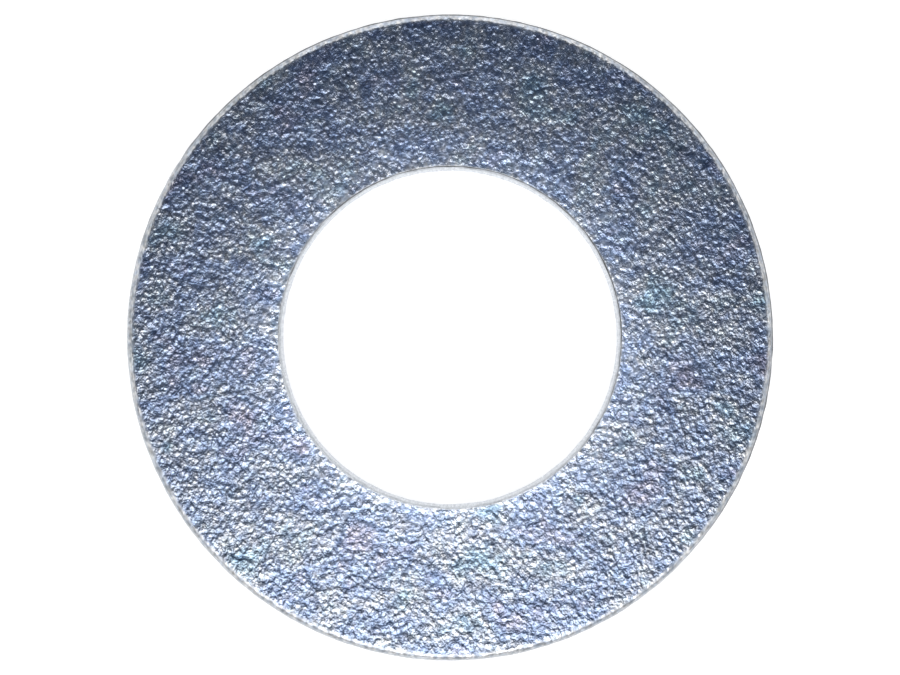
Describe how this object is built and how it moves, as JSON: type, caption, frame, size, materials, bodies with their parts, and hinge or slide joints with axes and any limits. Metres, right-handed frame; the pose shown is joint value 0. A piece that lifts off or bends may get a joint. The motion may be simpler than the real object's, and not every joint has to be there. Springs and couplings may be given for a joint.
{
  "type": "flat washer",
  "caption": "Round flat steel washer with a central bolt hole, a rolled-over rim and a dimpled bright zinc finish; spreads a bolt's load.",
  "frame": {"origin": "centre of the hole, in the plane of the bottom face", "axes": "+Z along the axis of the hole, from the bottom face, rolled over at the hole, towards the top face, rolled over at the rim; X and Y are free, because the part is round"},
  "size_m": [0.016, 0.016, 0.0016],
  "materials": {
    "zinc_plate": "bright zinc plate with a blue passivate, over steel left dimpled by tumbling"
  },
  "bodies": {
    "root": {"washer": "zinc_plate"}
  },
  "joints": []
}
